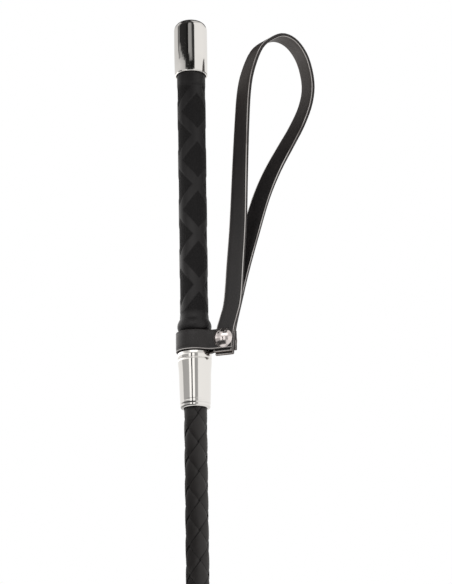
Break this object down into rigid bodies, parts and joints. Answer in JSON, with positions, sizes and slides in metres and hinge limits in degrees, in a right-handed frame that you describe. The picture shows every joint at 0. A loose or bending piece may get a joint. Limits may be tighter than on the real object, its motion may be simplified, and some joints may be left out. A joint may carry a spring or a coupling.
{
  "type": "riding crop",
  "caption": "Riding crop with polished metal cap and ferrule, moulded grip, plaited shaft, leather wrist loop riveted to a turning collar, and a stitched leather flap at the tip.",
  "frame": {"origin": "on the crop's axis at the middle of the grip, where the hand holds it", "axes": "+Z along the crop towards the cap, +X towards the side that the wrist loop hangs on, -Y towards the face that carries the rivet head"},
  "size_m": [0.0834, 0.0364, 0.65],
  "materials": {
    "chrome": "polished",
    "leather": "waxed, smooth",
    "moulded_grip": "matt, finely grained",
    "plait": "plaited",
    "thread": "waxed",
    "fibreglass": "smooth",
    "hardwood": "turned",
    "bush_plastic": "satin"
  },
  "bodies": {
    "crop": {"core_rod": "fibreglass", "handle_core": "hardwood", "cap_plug": "hardwood", "end_cap": "chrome", "grip_sleeve": "moulded_grip", "neck_bush": "bush_plastic", "ferrule": "chrome", "upper_whipping": "thread", "plaited_cover": "plait", "tip_binding": "thread", "flap_neck": "leather"},
    "collar": {"collar_strap": "leather", "rivet_cap": "chrome", "rivet_back": "chrome"},
    "loop": {"wrist_loop": "leather"},
    "flap": {"flap_front": "leather", "flap_back": "leather", "flap_stitches": "thread"}
  },
  "joints": [
    {"name": "collar_swivel", "type": "hinge", "parent": "crop", "child": "collar", "pos_m": [0, 0, -0.0858], "axis": [0, 0, 1], "continuous": true},
    {"name": "loop_pivot", "type": "hinge", "parent": "collar", "child": "loop", "pos_m": [0.0172, -0.00626, -0.0858], "axis": [0.342, 0.9397, 0], "range_deg": [-6, 10]},
    {"name": "flap_bend", "type": "hinge", "parent": "crop", "child": "flap", "pos_m": [0, 0, -0.4945], "axis": [1, 0, 0], "range_deg": [-60, 60], "stiffness_Nm_per_rad": 0.08}
  ]
}
